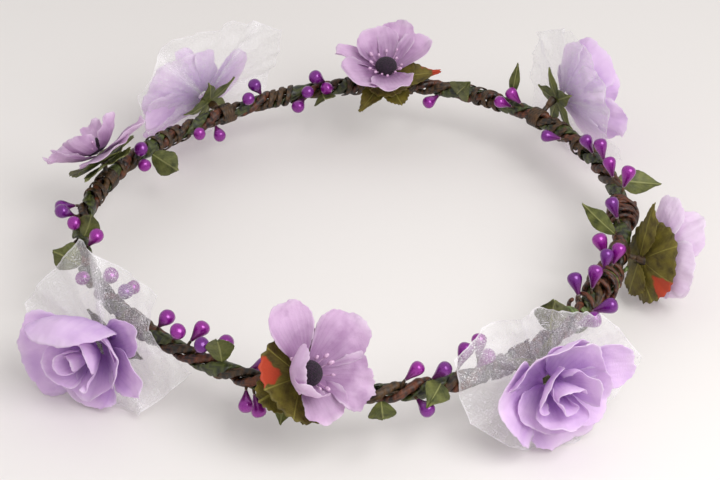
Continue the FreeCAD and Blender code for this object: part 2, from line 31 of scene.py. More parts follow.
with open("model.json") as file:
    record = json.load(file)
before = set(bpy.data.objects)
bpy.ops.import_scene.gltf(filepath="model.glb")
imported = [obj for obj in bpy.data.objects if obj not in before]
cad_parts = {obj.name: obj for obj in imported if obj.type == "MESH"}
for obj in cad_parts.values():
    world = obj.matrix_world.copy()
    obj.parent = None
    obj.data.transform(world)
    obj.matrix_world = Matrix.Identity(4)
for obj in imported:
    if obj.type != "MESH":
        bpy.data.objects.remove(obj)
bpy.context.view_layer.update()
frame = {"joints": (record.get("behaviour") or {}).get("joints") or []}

MM = 0.001
FLOOR = -0.020
# How far a petal or a net stays above the floor, in metres.
PETAL_CLEARANCE = 0.0004
NET_CLEARANCE = 0.0006
# The cloths' thickness, in millimetres.
PETAL_THICKNESS = 0.2
LEAF_THICKNESS = 0.3
CALYX_THICKNESS = 0.35

# The hoop's centre line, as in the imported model: a circle with a little of the second to fourth harmonics.
HOOP_RADIUS = 92.0
HOOP_SWELLS = ((2.6, 2, -90.0), (-2.1, 3, 18.0), (1.0, 4, 0.0))
HOOP_STEP = 0.01
CORE_RADIUS = 0.5
STRAND_OFFSET = 1.9
STRAND_TWISTS = 26
STEM_REACH = 8.0
FULL_TURN = 2 * pi

# Where each head faces: turn of its wire, swing from outward towards along, rise above the hoop's plane.
ROSES = {
    "rose_front_left": (-34, 12, 12),
    "rose_front_right": (-4, -17, 12),
    "rose_back_left": (-4, 12, 20),
    "rose_back_right": (29, -17, 6),
}
ANEMONES = {
    "anemone_front": (71, 43, 43),
    "anemone_left": (87, -9, 53),
    "anemone_back": (127, 186, 72),
    "anemone_right": (-9, 37, -16),
}

# Berries: angle round the hoop and turn about it. Vine leaves add their length and half width.
BERRIES = {
    "berries_back": (
        (115, 100), (118, 130), (130, 190), (136, 165), (104, 185), (103, 150), (96, 150), (98, 115),
        (70, 190),
    ),
    "berries_left": (
        (152, 130), (155, 165), (176, 20), (181, 50), (186, 80), (193, 120), (203, 50), (207, 100),
        (211, 135), (214, 95),
    ),
    "berries_front": (
        (226, 100), (231, 80), (234, 120), (237, 75), (240, 110), (247, 190), (249, -20), (250, -60),
        (278, 95), (283, 75), (280, 0), (289, 110), (292, 75), (294, 130),
    ),
    "berries_right": (
        (51, 145), (49, 110), (34, 170), (23, 115), (19, 95), (12, 100), (8, 70), (356, 120), (341, 125),
        (335, 100), (338, 80), (325, 130), (328, 95), (323, 25), (317, 30),
    ),
}
VINE_LEAVES = {
    "vine_leaves_back": ((150, 190, 14, 4.5), (99.6, 187, 11, 4), (66, 165, 12, 4.5), (53, 80, 15, 1.8)),
    "vine_leaves_left": ((189, 115, 10, 3.5), (198, 45, 13, 4.5)),
    "vine_leaves_front": ((285, 50, 11, 4), (274, -10, 13, 3.8), (256.8, -40, 8, 2.5), (243, 85, 13, 4)),
    "vine_leaves_right": ((16, -15, 14, 4), (352, 140, 16, 2.8), (312, 90, 14, 5)),
}
# Coils round the vine: where each starts and ends, in degrees round the hoop, and its turns.
TENDRILS = (
    (26, 32, 2), (36, 41, 2), (56, 64, 3), (74, 79, 1), (88, 94, 2), (106, 113, 3), (139, 148, 3),
    (158, 161, 1), (168, 173, 2), (221.5, 224, 1), (251.4, 254.6, 1.5), (296, 300, 2), (307, 311, 1),
)
CLOSURE_BROWN = ((329.7, 333.8, 2), (357.6, 364.5, 4))
CLOSURE_GREEN = ((319, 321.6, 1), (342.4, 344, 0.75))
# Looser turns between those, which only the looks have.
LOOSE_BROWN = ((322.5, 328, 1.6), (336, 341, 1.7))
LOOSE_GREEN = ((333.5, 336.5, 1.4),)


# Places on the hoop


def hoop_radius(angle):
    a = radians(angle)
    return HOOP_RADIUS + sum(size * cos(n * a + radians(lag)) for size, n, lag in HOOP_SWELLS)


def hoop_point(angle):
    a = radians(angle)
    return np.array([cos(a), sin(a), 0]) * hoop_radius(angle)


def hoop_directions(angle):
    """The unit directions along, outward and up."""
    along = hoop_point(angle + HOOP_STEP) - hoop_point(angle - HOOP_STEP)
    along /= np.linalg.norm(along)
    up = np.array([0, 0, 1.0])
    return along, np.cross(along, up), up


def turned(angle, turn):
    """The direction outward, turned about the centre line: 90 is up."""
    _, outward, up = hoop_directions(angle)
    t = radians(turn)
    return outward * cos(t) + up * sin(t)


class Place:
    """A frame on the crown: a base in millimetres and the directions of its x and z."""

    def __init__(self, base, x, z):
        self.base = base
        self.axes = np.array([x, np.cross(z, x), z])

    def put(self, points):
        """Points of the frame, in millimetres, as points of the world, in metres."""
        return (self.base + points @ self.axes) * MM


def standing(angle, turn, distance):
    """A frame whose z stands out of the vine."""
    along, _, _ = hoop_directions(angle)
    z = turned(angle, turn)
    return Place(hoop_point(angle) + z * distance, along, z)


def foot_angle(flower):
    """The flower's place round the hoop, from its hinge."""
    joint = next(j for j in frame["joints"] if j["child"] == flower)
    x, y, _ = joint["pos_m"]
    return degrees(atan2(y, x))


def head(flower):
    """A flower head's frame: its z out of the flower's face, its x level, its y rising."""
    turn, swing, rise = {**ROSES, **ANEMONES}[flower]
    angle = foot_angle(flower)
    along, outward, up = hoop_directions(angle)
    s, r = radians(swing), radians(rise)
    z = (outward * cos(s) + along * sin(s)) * cos(r) + up * sin(r)
    x = np.cross(up, z)
    x /= np.linalg.norm(x)
    return Place(hoop_point(angle) + turned(angle, turn) * STEM_REACH, x, z)


# Meshes


class Sheets:
    """Gathers grids of points into one mesh, with the values that the materials read."""

    def __init__(self):
        self.points, self.faces, self.values, self.count = [], [], [], 0

    def add(self, points, values, closed=False):
        """points is rows x columns x 3. values is rows x columns x 3: along, across and seed."""
        rows, columns = points.shape[:2]
        number = self.count + np.arange(rows * columns).reshape(rows, columns)
        if closed:
            number = np.concatenate([number, number[:, :1]], axis=1)
        quads = [number[:-1, :-1], number[:-1, 1:], number[1:, 1:], number[1:, :-1]]
        self.faces.append(np.stack([q.ravel() for q in quads], axis=1))
        self.points.append(points.reshape(-1, 3))
        self.values.append(values.reshape(-1, 3))
        self.count += rows * columns

    def add_fan(self, rim, tip, values):
        """Closes an end: a fan from the last ring's numbers to one point."""
        self.points.append(tip.reshape(1, 3))
        self.values.append(values.reshape(1, 3))
        fan = [(int(a), int(b), self.count) for a, b in zip(rim, np.roll(rim, -1))]
        self.faces.append(fan)
        self.count += 1

    def build(self, name, material, thickness):
        mesh = bpy.data.meshes.new(name)
        faces = [tuple(int(n) for n in face) for group in self.faces for face in group]
        mesh.from_pydata(np.concatenate(self.points).tolist(), [], faces)
        values = np.concatenate(self.values)
        for column, label in enumerate(("along", "across", "seed")):
            layer = mesh.attributes.new(label, "FLOAT", "POINT")
            layer.data.foreach_set("value", values[:, column].astype(np.float32))
        mesh.shade_smooth()
        mesh.materials.append(material)
        piece = bpy.data.objects.new(name, mesh)
        bpy.context.scene.collection.objects.link(piece)
        tidy_normals(mesh)
        if thickness:
            solid = piece.modifiers.new("cloth thickness", "SOLIDIFY")
            solid.thickness = thickness * MM
            solid.offset = 0
        return piece


def tidy_normals(mesh):
    working = bmesh.new()
    working.from_mesh(mesh)
    bmesh.ops.recalc_face_normals(working, faces=working.faces)
    working.to_mesh(mesh)
    working.free()


def smooth(values):
    t = np.clip(values, 0, 1)
    return t * t * (3 - 2 * t)


def waves(seed, x, y, size):
    """A smooth uneven surface between about -1 and 1, with bumps of about the given size."""
    dice = np.random.RandomState(seed)
    total = np.zeros_like(x)
    for _ in range(5):
        heading = dice.uniform(0, FULL_TURN)
        rate = dice.uniform(0.7, 1.5) * pi / size
        lag = dice.uniform(0, FULL_TURN)
        total += np.sin((x * cos(heading) + y * sin(heading)) * rate + lag)
    return total / 3


def tube(sheets, path, radii, references, sides, flat=1.0, seed=0.0, rough=0.0):
    """A wire along a path. References point across it, and flat under 1 squeezes it along them.

    A reference or radius can be one for all the path.
    """
    path, references = np.asarray(path), np.asarray(references)
    run = np.gradient(path, axis=0)
    run /= np.linalg.norm(run, axis=1, keepdims=True)
    out = references - (references * run).sum(axis=1, keepdims=True) * run
    out /= np.linalg.norm(out, axis=1, keepdims=True)
    side = np.cross(run, out)
    corner = np.linspace(0, FULL_TURN, sides, endpoint=False)
    radii = np.asarray(radii).reshape(-1, 1, 1)
    ring = out[:, None] * np.cos(corner)[:, None] * flat + side[:, None] * np.sin(corner)[:, None]
    length = np.concatenate([[0], np.cumsum(np.linalg.norm(np.diff(path, axis=0), axis=1))])
    if rough:
        x, y = np.broadcast_arrays(length[:, None], 1.5 * np.cos(corner))
        bumps = waves(int(seed) + 5, x.copy(), y.copy(), 1.8)
        radii = radii * (1 + rough * bumps)[..., None]
    points = path[:, None] + ring * radii
    values = np.zeros(points.shape)
    values[..., 0] = length[:, None]
    values[..., 1] = corner / FULL_TURN
    values[..., 2] = seed
    first = sheets.count
    sheets.add(points * MM, values, closed=True)
    rows = len(path)
    sheets.add_fan(first + np.arange(sides)[::-1], path[0] * MM, values[0, 0])
    sheets.add_fan(first + (rows - 1) * sides + np.arange(sides), path[-1] * MM, values[-1, 0])


# Petals and leaves

PETAL_GRID = 33
STEPS = (np.arange(20) + 0.5) / 20
# Shares of a petal where its tip begins to curl and its sides to roll, and the width of its middle crease.
CURL_FROM = 0.7
ROLL_FROM = 0.5
CREASE_WIDTH = 0.14
# Its swells and its fine crumpling, in millimetres.
SWELL_SIZE = 9
CRUMPLE = 0.13
CRUMPLE_SIZE = 2.6
# The ripples of an outline: how many go round, and each one's share.
OUTLINE_RIPPLES = ((2, 0.5), (3, 1.0), (5, 0.8), (9, 0.5), (17, 0.3), (29, 0.25), (43, 0.2))


def ragged(place, seed, amount):
    """How far a petal's outline swells or is notched at each angle round its middle."""
    dice = np.random.RandomState(seed + 77)
    total = 1.0
    for count, share in OUTLINE_RIPPLES:
        total = total + amount * share * np.sin(count * place + dice.uniform(0, 6.28))
    return total


def disc_grid(n):
    """A square grid bent into a disc: x across, y from foot to tip."""
    u, v = np.meshgrid(np.linspace(-1, 1, n), np.linspace(-1, 1, n))
    return u * np.sqrt(1 - v * v / 2), v * np.sqrt(1 - u * u / 2)


def petal(around, opening, length, half, foot, widths=(0.62, 1.12), cup=35, curl=0, roll=(0, 0),
          crease=0.3, ruffle=(0.7, 5), uneven=0.6, point=0.0, teeth=(0.0, 0), rag=0.035, tone=0.0, seed=0):
    """A petal or leaf in its head's frame, as a grid of points and the values for its material.

    around is its angle round the head. opening is its angle from the head's axis at the foot and at the tip.
    widths are shares of half at the foot and near the tip. cup bends it across, curl bends its tip outwards
    and roll turns each side in. tone is how red its far end is, for a leaf.
    """
    x, y = disc_grid(PETAL_GRID)
    rim, place = np.hypot(x, y), np.arctan2(x, y)
    count, depth = teeth[1], teeth[0]
    if count:
        saw = np.abs((place * count / FULL_TURN) % 1 - 0.5) * 2 - 0.5
        x, y = x * (1 + depth * saw * rim**8), y * (1 + depth * saw * rim**8)
    along = (1 + y) / 2
    outline = 1 + (ragged(place, seed, rag) - 1) * rim**3 * smooth(along / 0.3)
    x, y = x * outline, y * outline
    along = np.clip((1 + y) / 2, 0, None)
    shape = widths[0] + (widths[1] - widths[0]) * smooth(along / 0.75)
    shape = shape * (1 - point * smooth((along - 0.3) / 0.7)) if point else shape
    width = half * shape

    def slope(s):
        bent = opening[0] + (opening[1] - opening[0]) * s + curl * smooth((s - CURL_FROM) / (1 - CURL_FROM))
        return np.radians(bent)

    inner = slope(along[..., None] * STEPS)
    radial = foot[0] + length * along * np.sin(inner).mean(axis=-1)
    axial = foot[1] + length * along * np.cos(inner).mean(axis=-1)

    def bend(t):
        ends = roll[1] * smooth((t - ROLL_FROM) / (1 - ROLL_FROM))
        ends = ends - roll[0] * smooth((-t - ROLL_FROM) / (1 - ROLL_FROM))
        return np.radians(cup * t + ends)

    cross = bend(x[..., None] * STEPS)
    side = width * x * np.cos(cross).mean(axis=-1)
    rise = width * x * np.sin(cross).mean(axis=-1)
    rise = rise + ruffle[0] * smooth((rim - 0.4) / 0.6) * along * np.sin(ruffle[1] * place + seed * 1.7)
    rise = rise + uneven * waves(seed + 11, x * half, y * length / 2, SWELL_SIZE) * along
    rise = rise + CRUMPLE * waves(seed + 31, x * half, y * length / 2, CRUMPLE_SIZE) * smooth(along / 0.4)
    rise = rise - crease * np.exp(-((x / CREASE_WIDTH) ** 2)) * along
    tilt = slope(along)
    r = radial - np.cos(tilt) * rise
    z = axial + np.sin(tilt) * rise
    a = radians(around)
    east = r * cos(a) - side * sin(a)
    north = r * sin(a) + side * cos(a)
    values = np.stack([along, x, np.full_like(x, tone)], axis=-1)
    return np.stack([east, north, z], axis=-1), values


def blade(around, opening, length, half, **more):
    """A row of a petal table: petal's first arguments, then any others by name."""
    return dict(around=around, opening=opening, length=length, half=half, **more)


def add_petals(sheets, place, petals, **shared):
    """Adds a table's petals. None of them goes through the floor."""
    for number, keys in enumerate(petals):
        points, values = petal(**{"seed": number + 1, **shared, **keys})
        put = place.put(points)
        put[..., 2] = np.maximum(put[..., 2], FLOOR + PETAL_CLEARANCE)
        sheets.add(put, values)


def finish(sheets, body, node, word, material, thickness=0):
    """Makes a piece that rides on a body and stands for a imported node. A word more makes its name."""
    piece = sheets.build(f"{node}_{word}", MATERIALS[material], thickness)
    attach(piece, body)
    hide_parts(node)
    return piece


def lathe(sheets, place, profile, sides, seed=0.0, squash=0.0):
    """A turned piece round the z axis. Its profile of (radius, height) starts and ends on the axis."""
    profile = np.array(profile, float)
    corner = np.linspace(0, FULL_TURN, sides, endpoint=False)
    wobble = 1 + squash * np.sin(2 * corner + seed)
    rings = profile[1:-1]
    points = np.stack([
        rings[:, :1] * np.cos(corner) * wobble,
        rings[:, :1] * np.sin(corner) * wobble,
        np.repeat(rings[:, 1:], sides, axis=1),
    ], axis=-1)
    tall = profile[-1, 1] - profile[0, 1]
    values = np.zeros(points.shape)
    values[..., 0] = (points[..., 2] - profile[0, 1]) / tall
    values[..., 1] = corner / FULL_TURN
    values[..., 2] = (seed * 0.37) % 1
    first = sheets.count
    sheets.add(place.put(points), values, closed=True)
    low = np.array([0, 0, profile[0, 1]])
    high = np.array([0, 0, profile[-1, 1]])
    sheets.add_fan(first + np.arange(sides)[::-1], place.put(low), values[0, 0] * [0, 1, 1])
    sheets.add_fan(first + (len(rings) - 1) * sides + np.arange(sides), place.put(high), values[-1, 0])


# Materials


def srgb(*values):
    linear = [v / 255 / 12.92 if v <= 10 else ((v / 255 + 0.055) / 1.055) ** 2.4 for v in values]
    return (*linear, 1)


class Nodes:
    """A short way to write a material's nodes."""

    # A mix node has sockets for each kind of value. These are the colours' places in its lists.
    COLOUR_A, COLOUR_B, COLOUR_OUT = 6, 7, 2

    def __init__(self, name):
        self.material = bpy.data.materials.new(name)
        self.material.use_nodes = True
        self.tree = self.material.node_tree
        self.shader = self.tree.nodes["Principled BSDF"]
        self.output = self.tree.nodes["Material Output"]

    def link(self, source, target):
        self.tree.links.new(source, target)

    def node(self, kind, settings=None, **inputs):
        made = self.tree.nodes.new("ShaderNode" + kind)
        for key, value in (settings or {}).items():
            setattr(made, key, value)
        for key, value in inputs.items():
            self.set(made.inputs[key], value)
        return made

    def set(self, socket, value):
        if isinstance(value, bpy.types.NodeSocket):
            self.link(value, socket)
        else:
            socket.default_value = value

    def value(self, label):
        return self.node("Attribute", {"attribute_name": label}).outputs["Fac"]

    def noise(self, scale, detail=3):
        made = self.node("TexNoise", Scale=scale, Detail=detail)
        self.link(self.node("TexCoord").outputs["Object"], made.inputs["Vector"])
        return made.outputs["Fac"]

    def math(self, operation, a, b=0.0, c=0.0, clamp=False):
        made = self.node("Math", {"operation": operation, "use_clamp": clamp})
        for socket, value in zip(made.inputs, (a, b, c)):
            self.set(socket, value)
        return made.outputs[0]

    def span(self, value, low, high, to_low=0.0, to_high=1.0):
        made = self.node("MapRange")
        for key, number in zip(("Value", "From Min", "From Max", "To Min", "To Max"),
                               (value, low, high, to_low, to_high)):
            self.set(made.inputs[key], number)
        return made.outputs["Result"]

    def mix(self, share, a, b):
        made = self.node("Mix", {"data_type": "RGBA"})
        self.set(made.inputs["Factor"], share)
        self.set(made.inputs[self.COLOUR_A], a)
        self.set(made.inputs[self.COLOUR_B], b)
        return made.outputs[self.COLOUR_OUT]

    def bump(self, height, strength, distance):
        made = self.node("Bump", Height=height, Strength=strength, Distance=distance)
        self.link(made.outputs["Normal"], self.shader.inputs["Normal"])

    def surface(self, **inputs):
        for key, value in inputs.items():
            self.set(self.shader.inputs[key.replace("_", " ")], value)
        return self.material

    def blend(self, share, first, second):
        made = self.node("MixShader")
        for socket, value in zip(made.inputs, (share, first.outputs[0], second.outputs[0])):
            self.set(socket, value)
        self.link(made.outputs[0], self.output.inputs["Surface"])
        return made

    def let_light_through(self, colour, share):
        """Thin cloth: part of the light passes through it."""
        return self.blend(share, self.shader, self.node("BsdfTranslucent", Color=colour))


def petal_cloth(name, deep, main, pale, stains_and_painted_shade=0.15):
    """Petal fabric: deeper at the foot, paler at the rim, soft blotches, patches of stain and painted shade,
    faint veins and a fine weave.
    """
    n = Nodes(name)
    along, across = n.value("along"), n.value("across")
    blotch = n.noise(120, 2)
    shade = n.math("ADD", n.span(along, 0.05, 0.75), n.span(blotch, 0.3, 0.7, -0.18, 0.18), clamp=True)
    colour = n.mix(shade, deep, main)
    rim = n.math("MAXIMUM", n.span(along, 0.86, 1.0), n.span(n.math("ABSOLUTE", across), 0.8, 1.0))
    colour = n.mix(n.math("MULTIPLY", rim, 0.55), colour, pale)
    vein_wave = n.math("SINE", n.math("MULTIPLY_ADD", across, 34, n.span(n.noise(90), 0, 1, -3, 3)))
    veins = n.math("MULTIPLY", n.span(vein_wave, 0.4, 1.0), n.span(along, 0.15, 0.8, 0.30, 0.0), clamp=True)
    colour = n.mix(veins, colour, deep)
    # Darker patches towards the deep colour: partly stains, partly painted shade.
    colour = n.mix(n.span(n.noise(150, 4), 0.5, 0.72, 0.0, stains_and_painted_shade), colour, deep)
    weave = n.noise(2600, 1)
    height = n.math("ADD", n.math("MULTIPLY", vein_wave, 0.2), weave)
    n.bump(height, 0.6, 0.00025)
    n.let_light_through(colour, 0.38)
    return n.surface(Base_Color=colour, Roughness=0.78, Sheen_Weight=0.25, Sheen_Roughness=0.4)


def net_cloth():
    """Off-white tulle: fine threads with the holes left open."""
    n = Nodes("tulle net")
    u = n.node("UVMap").outputs["UV"]
    cells = n.node("TexVoronoi", {"feature": "DISTANCE_TO_EDGE"}, Scale=1.0, Randomness=0.5)
    n.link(u, cells.inputs["Vector"])
    thread = n.span(cells.outputs["Distance"], 0.08, 0.15, 1.0, 0.0)
    hem = n.span(n.value("along"), 0.975, 0.99)
    cover = n.math("MAXIMUM", n.math("MULTIPLY", thread, 0.7), n.math("MULTIPLY", hem, 0.5))
    pleat = n.span(n.value("across"), 0.15, 0.75, 0.02, 0.34)
    cover = n.math("ADD", cover, pleat, clamp=True)
    colour = srgb(252, 250, 252)
    cloth = n.let_light_through(colour, 0.3)
    n.blend(cover, n.node("BsdfTransparent"), cloth)
    return n.surface(Base_Color=colour, Roughness=0.55, Sheen_Weight=0.3)


def paper_wire(name, dark, light, gloss):
    """Paper tape wound on wire: uneven colour, the tape's slanting edges and a waxed shine."""
    n = Nodes(name)
    along, across = n.value("along"), n.value("across")
    slant = n.math("MULTIPLY_ADD", across, FULL_TURN, n.math("MULTIPLY", along, 2.6))
    lap = n.math("SINE", slant)
    blotch = n.noise(260, 4)
    shade = n.span(n.math("MULTIPLY_ADD", lap, 0.12, blotch), 0.32, 0.72)
    colour = n.mix(shade, dark, light)
    creases = n.noise(1500, 3)
    n.bump(n.math("ADD", n.math("MULTIPLY", n.span(lap, 0.7, 1.0), 0.8), creases), 0.5, 0.0003)
    return n.surface(Base_Color=colour, Roughness=n.span(blotch, 0.3, 0.7, gloss, gloss + 0.25),
                     Coat_Weight=0.08, Coat_Roughness=0.3)


def berry_lacquer():
    """Purple metallic lacquer, darker towards the stem, on an uneven bead."""
    n = Nodes("berry lacquer")
    along = n.value("along")
    tint = n.mix(n.value("seed"), srgb(102, 12, 124), srgb(148, 22, 146))
    colour = n.mix(n.span(along, 0.05, 0.6), srgb(92, 8, 84), tint)
    colour = n.mix(n.span(along, 0.07, 0.0), colour, srgb(226, 206, 210))
    flake = n.noise(2600, 2)
    n.bump(n.noise(420, 2), 0.25, 0.0004)
    return n.surface(Base_Color=colour, Metallic=0.45, Roughness=n.span(flake, 0.3, 0.7, 0.24, 0.36),
                     Coat_Weight=0.7, Coat_Roughness=0.12)


def leaf_cloth(name, dark, light, rib, tip=None, gloss=0.5):
    """Leaf fabric: a pale midrib, side veins, blotches and, on some, a coloured patch at the edge."""
    n = Nodes(name)
    along, across = n.value("along"), n.value("across")
    blotch = n.noise(300, 3)
    colour = n.mix(n.span(blotch, 0.3, 0.7), dark, light)
    far = n.math("ABSOLUTE", across)
    side_wave = n.math("SINE", n.math("MULTIPLY_ADD", along, 46, n.math("MULTIPLY", far, -22)))
    veins = n.math("MULTIPLY", n.span(side_wave, 0.75, 1.0), 0.12)
    colour = n.mix(veins, colour, rib)
    midrib = n.span(far, 0.035, 0.07, 1.0, 0.0)
    colour = n.mix(n.math("MULTIPLY", midrib, 0.8), colour, rib)
    if tip:
        reach = n.math("MULTIPLY_ADD", n.value("seed"), 0.9, n.span(n.noise(220, 3), 0.3, 0.7, -0.22, 0.22))
        colour = n.mix(n.span(n.math("MULTIPLY", reach, along), 0.42, 0.52), colour, tip)
    grooves = n.math("MULTIPLY", n.math("MAXIMUM", veins, midrib), -1.2)
    n.bump(n.math("ADD", grooves, n.noise(1800, 2)), 0.5, 0.0003)
    n.let_light_through(colour, 0.15)
    return n.surface(Base_Color=colour, Roughness=gloss)


def felt(name, dark, light):
    n = Nodes(name)
    fluff = n.noise(1500, 4)
    n.bump(n.noise(2200, 3), 0.9, 0.0006)
    return n.surface(Base_Color=n.mix(n.span(fluff, 0.35, 0.7), dark, light), Roughness=0.85,
                     Sheen_Weight=0.06, Sheen_Roughness=0.5)


def pearl_bead():
    n = Nodes("pearl bead")
    colour = n.mix(n.span(n.noise(900, 2), 0.3, 0.7), srgb(188, 140, 180), srgb(222, 188, 216))
    return n.surface(Base_Color=colour, Roughness=0.25, Coat_Weight=0.5, Coat_Roughness=0.1)


MATERIALS = {
    "rose": petal_cloth("rose cloth", srgb(192, 138, 216), srgb(244, 221, 249), srgb(253, 243, 253)),
    # The number after the colours: how strongly a cloth is darkened in patches, partly stains and partly
    # painted shade.
    "anemone": petal_cloth("anemone cloth", srgb(170, 116, 172), srgb(234, 206, 234), srgb(252, 241, 251),
                           0.5),
    "pale_anemone": petal_cloth("pale anemone cloth", srgb(208, 172, 212), srgb(246, 230, 247),
                                srgb(253, 246, 253), 0.3),
    "net": net_cloth(),
    "brown": paper_wire("brown paper", srgb(26, 12, 6), srgb(104, 54, 28), 0.36),
    "bark": paper_wire("bark paper", srgb(24, 16, 6), srgb(86, 58, 26), 0.4),
    "green": paper_wire("green paper", srgb(18, 22, 6), srgb(74, 82, 30), 0.28),
    "bright_green": paper_wire("bright green paper", srgb(62, 74, 34), srgb(120, 138, 78), 0.42),
    "berry": berry_lacquer(),
    "dark_leaf": leaf_cloth("dark leaf", srgb(62, 70, 30), srgb(120, 124, 64), srgb(160, 162, 100)),
    "olive_leaf": leaf_cloth("olive leaf", srgb(74, 62, 18), srgb(122, 110, 34), srgb(150, 140, 62),
                             srgb(190, 66, 34), 0.62),
    "felt": felt("button felt", srgb(18, 8, 20), srgb(50, 26, 50)),
    "pearl": pearl_bead(),
}


# The vine


STRAND_STEPS = 2200
# In each turn of a coil.
COIL_STEPS = 26


def strand_path(phase, seed):
    """A strand's helix round the centre line, drawn tighter and looser."""
    t = np.linspace(0, 1, STRAND_STEPS, endpoint=False)
    dice = np.random.RandomState(seed)

    def uneven(low, high, counts):
        return sum(
            dice.uniform(low, high) * np.sin(FULL_TURN * (k * t) + dice.uniform(0, 6.28)) for k in counts
        )

    drift = uneven(5, 16, (9, 17, 31))
    loose = uneven(0.03, 0.09, (13, 37, 71))
    path, reference = [], []
    for n in range(STRAND_STEPS):
        angle = 360 * t[n]
        across = turned(angle, phase + 360 * STRAND_TWISTS * t[n] + drift[n])
        path.append(hoop_point(angle) + across * STRAND_OFFSET * (1.06 + loose[n]))
        reference.append(across)
    return np.array(path), np.array(reference)


# The twisted strands: where each starts round the centre line, its radius and how flat it is.
STRANDS = {"brown": (0, 1.5, 0.82), "bark": (120, 1.4, 0.8), "green": (240, 2.2, 0.42)}


def add_strand(name, seed):
    phase, radius, flat = STRANDS[name]
    sheets = Sheets()
    path, reference = strand_path(phase, seed)
    swell = 1 + 0.14 * waves(seed, np.arange(len(path)) * 0.27, np.zeros(len(path)), 7)
    closed_path = np.concatenate([path, path[:1]])
    closed_reference = np.concatenate([reference, reference[:1]])
    radii = radius * np.concatenate([swell, swell[:1]])
    tube(sheets, closed_path, radii, closed_reference, 12, flat, seed, 0.16)
    finish(sheets, "vine", f"{name}_strand", "paper", name)


def coil_path(start, end, turns, offset, looseness, seed):
    """A helix round the vine between two angles, a little uneven in its distance and its pitch."""
    dice = np.random.RandomState(seed)
    count = max(12, round(turns * COIL_STEPS))
    t = np.linspace(0, 1, count + 1)
    lags = dice.uniform(0, 6.28, 3)
    slow = 0.6 * np.sin(FULL_TURN * turns * 0.37 * t + lags[0])
    grow = 1 + looseness * (slow + 0.4 * np.sin(9 * t + lags[1]))
    slide = (end - start) * 0.12 * np.sin(FULL_TURN * turns * t + lags[2])
    path, reference = [], []
    for n in range(count + 1):
        angle = start + (end - start) * t[n] + slide[n]
        across = turned(angle, 360 * turns * t[n] + degrees(lags[1]))
        path.append(hoop_point(angle) + across * offset * grow[n])
        reference.append(across)
    return path, reference


def add_coils(node, stretches, material, offset, radius, looseness, seed, flat=0.85):
    sheets = Sheets()
    for number, (start, end, turns) in enumerate(stretches):
        path, reference = coil_path(start, end, turns, offset, looseness, seed + number)
        tube(sheets, path, radius, reference, 8, flat, number)
    finish(sheets, "vine", node, "paper", material)


def add_core():
    """The hidden wire that keeps the hoop's shape."""
    sheets = Sheets()
    angles = np.linspace(0, 360, 241)
    path = [hoop_point(a) for a in angles]
    tube(sheets, path, CORE_RADIUS, [turned(a, 0) for a in angles], 8)
    finish(sheets, "vine", "core_wire", "shown", "bark")


def make_vine():
    add_core()
    for number, name in enumerate(STRANDS):
        add_strand(name, number + 1)
    second_layer = tuple((start + 1.1, end + 1.6, turns * 0.8) for start, end, turns in CLOSURE_BROWN)
    add_coils("tendril_coils", TENDRILS, "bark",
              offset=3.4, radius=1.0, looseness=0.05, seed=20, flat=0.3)
    add_coils("closure_coil_brown", CLOSURE_BROWN + second_layer + LOOSE_BROWN, "brown",
              offset=4.5, radius=0.8, looseness=0.22, seed=50)
    add_coils("closure_coil_green", CLOSURE_GREEN + LOOSE_GREEN, "bright_green",
              offset=4.4, radius=1.25, looseness=0.1, seed=60, flat=0.5)


# Berries and vine leaves

BERRY_FOOT = 3.3
BERRY_STEM = 2.3
BERRY_PROFILE = ((0, 0), (0.4, 0.05), (0.55, 0.6), (0.8, 1.6), (1.2, 2.8), (1.65, 4.0), (1.98, 5.1),
                 (2.1, 5.9), (1.98, 6.8), (1.55, 7.5), (0.85, 7.92), (0, 8.02))
BERRY_FULLNESS = 1.18
BERRY_SIZES = (0.92, 1.06)
BERRY_LEANS = (18, 46)


def make_berries():
    """Teardrops on short bent wires. All the wires are one piece."""
    stems = Sheets()
    for node, places in BERRIES.items():
        sheets = Sheets()
        for number, (angle, turn) in enumerate(places):
            dice = np.random.RandomState(number + 7 * len(places))
            size = dice.uniform(*BERRY_SIZES)
            profile = [(r * size * BERRY_FULLNESS, z * size) for r, z in BERRY_PROFILE]
            along, _, _ = hoop_directions(angle)
            lean = radians(dice.uniform(*BERRY_LEANS))
            base = hoop_point(angle)
            out = turned(angle, turn)
            ahead = out * cos(lean) + along * sin(lean)
            across = np.cross(out, along)
            foot = base + out * (BERRY_FOOT - 0.3) + ahead * (BERRY_STEM - 0.8)
            lathe(sheets, Place(foot, across, ahead), profile, 22, dice.uniform(0, 6), 0.03)
            joints = np.linspace(0, 1, 8)[:, None]
            root, bend = base + out * 1.4, base + out * BERRY_FOOT
            tip = foot + ahead * 0.5
            path = root * (1 - joints) ** 2 + bend * 2 * joints * (1 - joints) + tip * joints**2
            tube(stems, path, np.linspace(0.65, 0.4, 8), across, 8)
        finish(sheets, "vine", node, "lacquered", "berry")
    finish(stems, "vine", "berry_stems", "paper", "bark")


# The way the vine leaves turn their upper faces: upwards and to the front.
LEAF_FACE = np.array([0, -0.82, 0.57])
# A leaf's outline narrows to its point, so its table size is raised by these.
LEAF_LENGTHENING = 1.15
LEAF_WIDENING = 1.12


def make_vine_leaves():
    for node, leaves in VINE_LEAVES.items():
        sheets = Sheets()
        for number, (angle, turn, length, half) in enumerate(leaves):
            place = standing(angle, turn, BERRY_FOOT)
            face = place.axes @ LEAF_FACE
            # One that would point its tip that way lies back instead.
            spread = max(0, face[2] - 0.6) * 2.5
            opening = (2 + 45 * spread, 30 + 55 * spread)
            keys = blade(degrees(atan2(face[1], face[0])), opening, length * LEAF_LENGTHENING,
                         half * LEAF_WIDENING, foot=(0, 0), widths=(0.85, 1.25), cup=24, crease=0.6,
                         ruffle=(0.1, 3), uneven=0.15, point=0.8, seed=number + 3)
            add_petals(sheets, place, [keys])
        finish(sheets, "vine", node, "cloth", "dark_leaf", LEAF_THICKNESS)


# What both kinds of flower have

